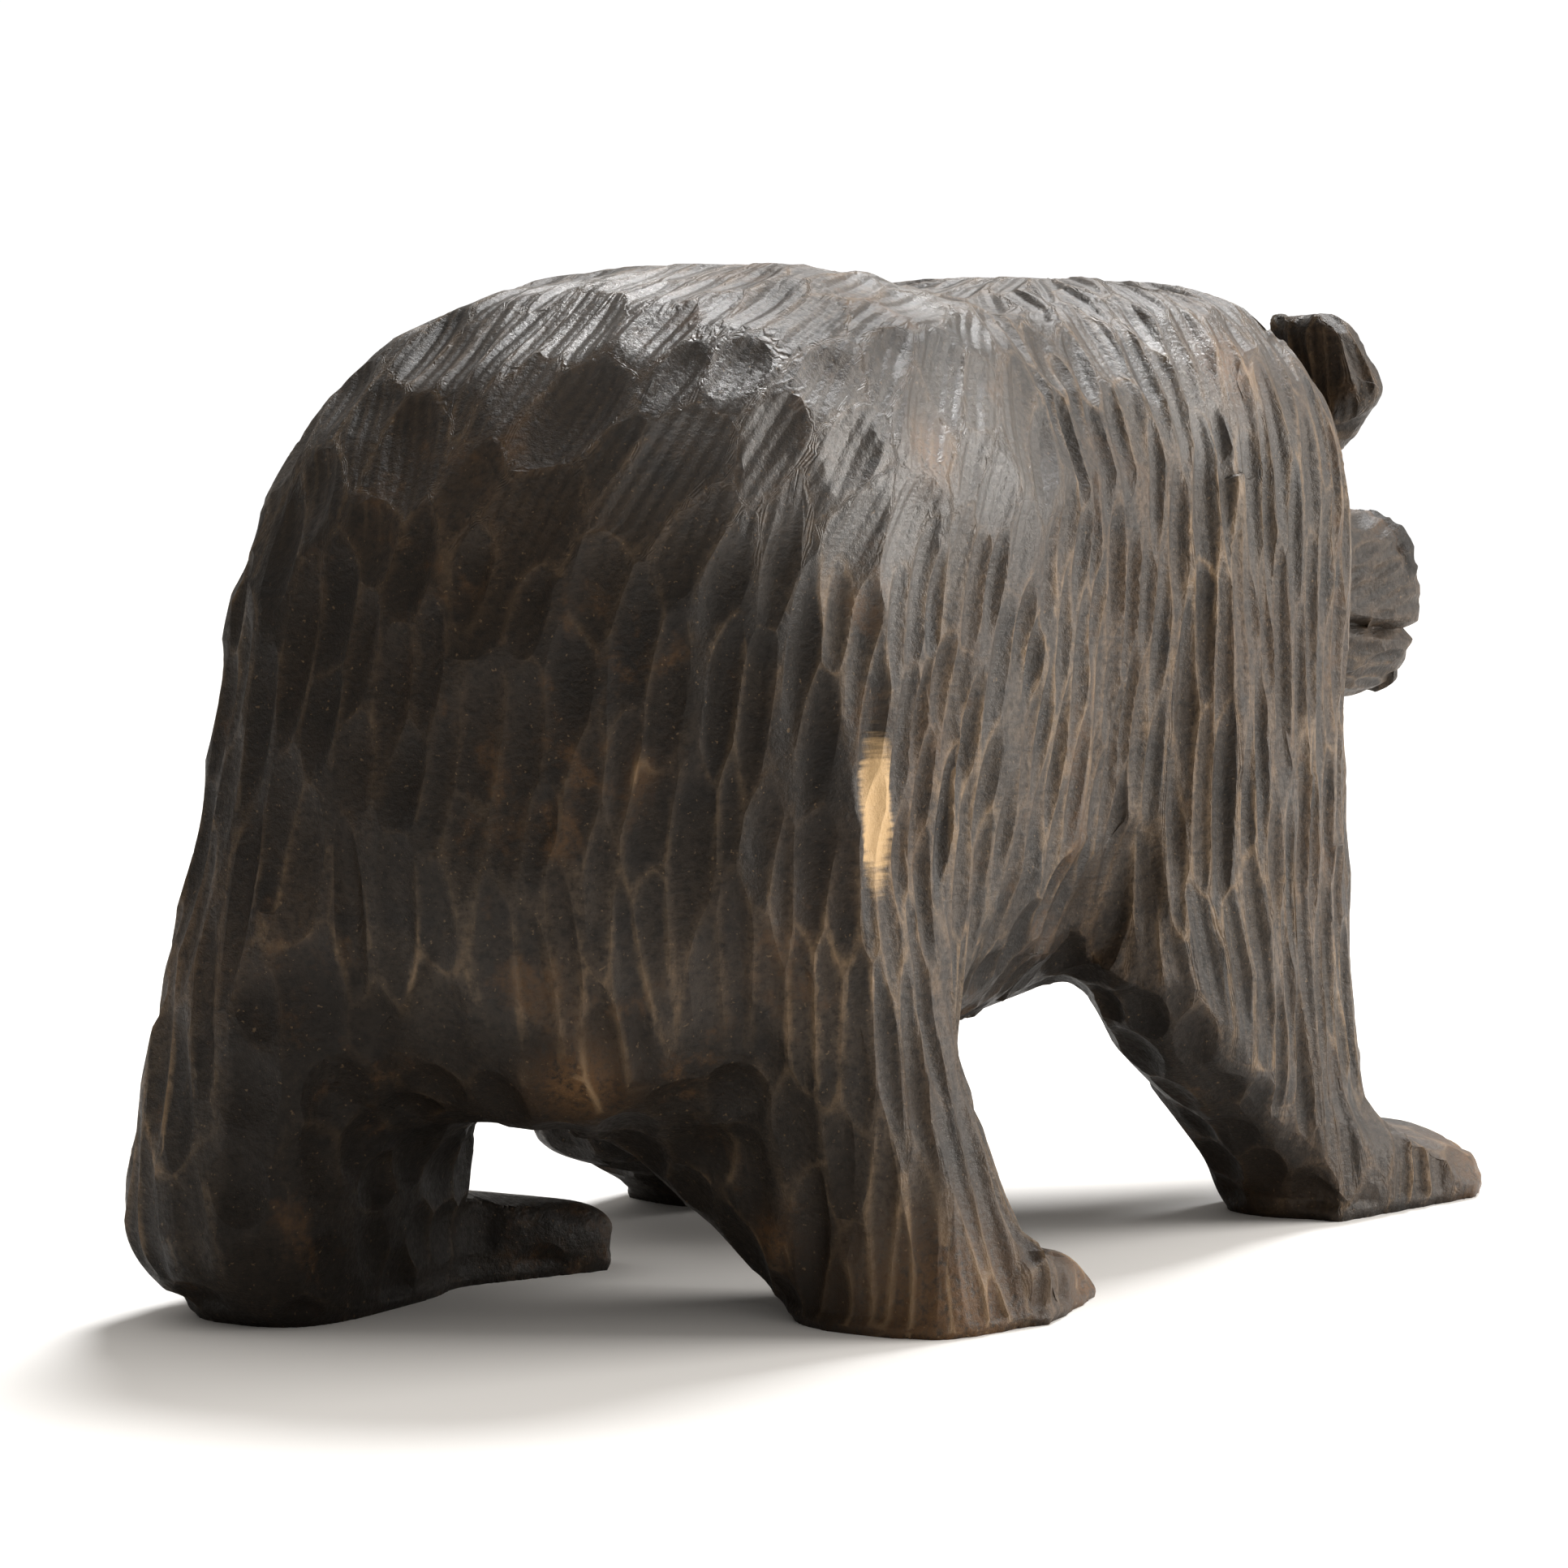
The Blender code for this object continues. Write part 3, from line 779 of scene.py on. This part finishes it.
def stain_colour(tree, patterns):
    """Warm and grey stain, darkened layer by layer by darker stain and by painted shade, with the brown wood
    showing through in patches.
    """
    where, fine = patterns["where"], patterns["fine"]
    broad = noise(tree, where, 24, 4)
    colour = mixed(tree, ranged(tree, broad, 0.38, 0.62), STAIN_WARM, STAIN_GREY)
    # Painted shade, partly stain pooled there: the colour darkens towards the floor of each cut, away from
    # its ridges.
    hollow = ranged(tree, patterns["ridge"], 0.1, 1.8, 0.0, 0.62)
    cloud = ranged(tree, noise(tree, where, 90, 5, 0.65), 0.48, 0.7, 0.0, 0.75)
    streak = ranged(tree, patterns["grain"], 0.48, 0.72, 0.0, 0.5)
    mottle = ranged(tree, fine, 0.42, 0.7, 0.0, 0.7)
    # The third pair lays painted shade on the rump, the undersides and the insides of the legs, and the black
    # nose.
    for share, darker in (
        (hollow, DARK_STAIN_AND_SHADE), (times(tree, patterns["cut_tone"], 0.7), DARK_STAIN_AND_SHADE),
        (times(tree, patterns["shade_and_nose"], 0.88), BLACK_STAIN_AND_SHADE), (cloud, BLACK_STAIN_AND_SHADE),
        (streak, BLACK_STAIN_AND_SHADE), (mottle, BLACK_STAIN_AND_SHADE),
    ):
        colour = mixed(tree, share, colour, darker)
    patch = times(tree, ranged(tree, noise(tree, where, 55, 5, 0.7), 0.56, 0.7), 0.4)
    patch = maths(tree, "MAXIMUM", patch, times(tree, patterns["worn"], 0.8))
    patch = times(tree, patch, ranged(tree, fine, 0.3, 0.6))
    return mixed(tree, patch, colour, BROWN)


print("stain:", STAIN_WARM[:3], "to", BLACK_STAIN_AND_SHADE[:3])

# %% [markdown]
# ## Wear
#
# Hands rub the stain off the ridges first. The line is the distance to the nearest ridge turned into a thin
# band and broken up by noise, so that no two ridges are equally bare, and the polished parts keep most of
# their stain, as do the parts with painted shade, so that the shade stays deep. Dust lies over all of it as
# pale specks, and on the right thigh the stain is gone in one striped scrape.

# %% Wear
RUBBED = (0.260, 0.170, 0.092, 1)
BARE = (0.50, 0.33, 0.160, 1)


def rubbed_share(tree, patterns):
    """A thin band along each ridge and flute, times how hard that place was rubbed."""
    where, fine = patterns["where"], patterns["fine"]
    line = ranged(tree, maths(tree, "ADD", patterns["ridge"], times(tree, fine, 0.5)), 0.25, 1.15, 1.0, 0.0)
    line = maths(tree, "MAXIMUM", line, ranged(tree, patterns["crest"], 0.2, 0.6, 0.0, 0.3))
    rubbing = ranged(tree, noise(tree, where, 46, 4, 0.6), 0.38, 0.66, 0.06, 0.62)
    rubbing = times(tree, rubbing, ranged(tree, noise(tree, where, 260, 4, 0.7), 0.38, 0.6, 0.25, 1.0))
    # Less rubbing under the painted shade, so it stays deep.
    rubbing = times(tree, rubbing, less(tree, 1.0, patterns["shade_and_nose"], 0.9))
    rubbing = times(tree, rubbing, less(tree, 1.0, patterns["gloss"], 0.8))
    rubbing = maths(tree, "MAXIMUM", rubbing, times(tree, patterns["worn"], 0.8))
    return times(tree, line, rubbing)


def scraped_share(tree, patterns):
    """The bare spot broken into stripes across the leg."""
    bare = patterns["bare"]
    stripes = noise(tree, patterns["where"], 330, 3, 0.6, (0.3, 0.3, 3.0))
    scraped = ranged(tree, maths(tree, "ADD", bare, times(tree, stripes, 0.7)), 0.72, 1.1)
    return times(tree, scraped, ranged(tree, bare, 0.2, 0.6))


def worn_colour(tree, patterns, colour):
    """colour with the ridges rubbed, the dust specks and the scrape laid over it."""
    colour = mixed(tree, rubbed_share(tree, patterns), colour, RUBBED)
    speck = noise(tree, patterns["where"], 1500, 2, 0.5)
    colour = mixed(tree, times(tree, ranged(tree, speck, 0.68, 0.74), 0.3), colour, RUBBED)
    return mixed(tree, scraped_share(tree, patterns), colour, BARE)


print("rubbed ridges:", RUBBED[:3], "scrape:", BARE[:3])

# %% [markdown]
# ## Sheen and pores
#
# Stain alone is dull. Handling has polished the high places to a soft shine, which is a lower roughness and a
# stronger reflection there, and the parts with painted shade and the nose reflect least. Grain and pores are
# too small for the mesh, so one bump stands for both, and another sharpens the carved flutes, which the
# thinning has softened.

# %% Sheen and pores


def stained_wood():
    """The wood's whole finish: stain and wear as colour, handling as sheen, flutes and pores as bumps."""
    made, tree, shader = new_material("stained_wood")
    patterns = wood_patterns(tree)
    colour = worn_colour(tree, patterns, stain_colour(tree, patterns))
    rough = ranged(tree, patterns["fine"], 0.3, 0.7, 0.44, 0.64)
    rough = less(tree, less(tree, rough, patterns["cut_tone"], 0.1), patterns["gloss"], 0.2)
    shine = maths(tree, "ADD", less(tree, 0.3, patterns["shade_and_nose"], 0.14), times(tree, patterns["gloss"], 0.6))
    lines = node(tree, "ShaderNodeBump", None, Strength=0.5, Distance=0.0002, Height=patterns["crest"])
    height = maths(tree, "ADD", times(tree, patterns["grain"], 0.5), patterns["fine"])
    pores = node(tree, "ShaderNodeBump", None, Strength=0.6, Distance=0.0005, Height=height)
    tree.links.new(lines.outputs[0], pores.inputs["Normal"])
    for name, value in (
        ("Base Color", colour), ("Roughness", rough),
        ("Specular IOR Level", shine), ("Normal", pores.outputs[0]),
    ):
        tree.links.new(value, shader.inputs[name])
    return made


bear.data.materials.clear()
bear.data.materials.append(stained_wood())
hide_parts("bear_body")
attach(bear, "root")
print("wood nodes:", len(bear.data.materials[0].node_tree.nodes))

# %% [markdown]
# ## Eyes
#
# The eyes are glass beads, each on a wire pin pushed into the wood. The frame's beads and pins are small and
# already round, so they keep their own shapes and only get their finish: black glass, and drawn wire with
# scratches so fine that noise at a high scale stands in for them.

# %% Eyes
GLASS_BLACK, GLASS_BROWN = (0.006, 0.004, 0.003, 1), (0.02, 0.011, 0.006, 1)
WIRE_DULL, WIRE_BRIGHT = (0.38, 0.37, 0.35, 1), (0.5, 0.49, 0.47, 1)


def bead_glass():
    """Near-black glass with a faint brown depth."""
    made, tree, shader = new_material("bead_glass_black")
    where = node(tree, "ShaderNodeTexCoord").outputs["Object"]
    cloud = noise(tree, where, 500, 2)
    tree.links.new(mixed(tree, cloud, GLASS_BLACK, GLASS_BROWN), shader.inputs["Base Color"])
    shader.inputs["Roughness"].default_value = 0.06
    shader.inputs["Coat Weight"].default_value = 0.6
    return made


def pin_wire():
    """Drawn steel wire with fine scratches."""
    made, tree, shader = new_material("pin_wire_steel")
    where = node(tree, "ShaderNodeTexCoord").outputs["Object"]
    scratch = noise(tree, where, 1800, 2)
    tree.links.new(ranged(tree, scratch, 0.3, 0.7, 0.28, 0.45), shader.inputs["Roughness"])
    tree.links.new(mixed(tree, scratch, WIRE_DULL, WIRE_BRIGHT), shader.inputs["Base Color"])
    shader.inputs["Metallic"].default_value = 1.0
    return made


glass, wire = bead_glass(), pin_wire()
for name, finish in (("eye_bead", glass), ("eye_pin", wire)):
    for side in ("left", "right"):
        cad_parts[f"{name}_{side}"].material_slots[0].material = finish
print("eyes:", glass.name, "and", wire.name)

# %% [markdown]
# ## Floor and light
#
# A pale floor with broad soft light from above and from the far side, as in a plain product shot: the far
# side of the bear is bright, and the side towards the camera is lit by the room and by one window to the
# bear's right, which puts the shine on its hip.

# %% Floor and light
FLOOR_SPREAD = 3.0
ROOM_LIT_FROM = tuple(Vector((-0.1, -0.6, 0.75)).normalized())
ROOM_DIM, ROOM_BRIGHT = 0.13, 0.6
ROOM_TINT, SEEN_WHITE, SEEN_STRENGTH = (1.0, 0.955, 0.9, 1), (1, 1, 1, 1), 1.05
SUN_FROM, SUN_POWER, SUN_ANGLE = (0.08, -0.56, 0.82), 3.7, math.radians(20)
WINDOW_PLACE, WINDOW_AIM = (-0.78, -0.62, 0.42), (0, 0, 0.07)
WINDOW_SIZE, WINDOW_POWER, WINDOW_TINT = 0.7, 13.5, (1.0, 0.965, 0.92)


def make_floor():
    """A flat pale square, FLOOR_SPREAD metres to each side of the bear."""
    mesh = bpy.data.meshes.new("floor")
    s = FLOOR_SPREAD
    mesh.from_pydata([(-s, -s, 0), (s, -s, 0), (s, s, 0), (-s, s, 0)], [], [(0, 1, 2, 3)])
    floor = bpy.data.objects.new("floor", mesh)
    bpy.context.scene.collection.objects.link(floor)
    made, _, shader = new_material("pale_floor")
    shader.inputs["Base Color"].default_value = (0.93, 0.92, 0.905, 1)
    shader.inputs["Roughness"].default_value = 0.9
    shader.inputs["Specular IOR Level"].default_value = 0.1
    mesh.materials.append(made)


def window_light():
    """A square soft light at WINDOW_PLACE, turned to WINDOW_AIM, in metres and watts."""
    data = bpy.data.lights.new("window", "AREA")
    data.size = WINDOW_SIZE
    data.energy = WINDOW_POWER
    data.color = WINDOW_TINT
    light = bpy.data.objects.new("window", data)
    light.location = WINDOW_PLACE
    light.rotation_euler = (Vector(WINDOW_AIM) - Vector(WINDOW_PLACE)).to_track_quat("-Z", "Y").to_euler()
    bpy.context.scene.collection.objects.link(light)


def make_room():
    """A world that lights from behind, above and the right, and shows itself to the camera as plain white."""
    world = bpy.data.worlds.new("room")
    world.use_nodes = True
    tree = world.node_tree
    back = tree.nodes["Background"]
    where = node(tree, "ShaderNodeTexCoord").outputs["Generated"]
    lit = node(tree, "ShaderNodeVectorMath", {"operation": "DOT_PRODUCT"}, i0=where, i1=ROOM_LIT_FROM)
    light = ranged(tree, lit.outputs["Value"], -0.55, 0.75, ROOM_DIM, ROOM_BRIGHT)
    seen = node(tree, "ShaderNodeLightPath").outputs["Is Camera Ray"]
    strength = maths(tree, "MAXIMUM", light, times(tree, seen, SEEN_STRENGTH))
    tree.links.new(strength, back.inputs["Strength"])
    tree.links.new(mixed(tree, seen, ROOM_TINT, SEEN_WHITE), back.inputs["Color"])
    bpy.context.scene.world = world


def sun_light():
    """A broad, even key from above and ahead of the bear: a sun with the angle of a large soft box."""
    data = bpy.data.lights.new("key", "SUN")
    data.energy = SUN_POWER
    data.angle = SUN_ANGLE
    light = bpy.data.objects.new("key", data)
    light.rotation_euler = Vector(SUN_FROM).to_track_quat("Z", "Y").to_euler()
    bpy.context.scene.collection.objects.link(light)


make_floor()
make_room()
sun_light()
window_light()
bpy.context.scene.view_settings.view_transform = "Standard"
print("lights:", [light.name for light in bpy.data.lights])
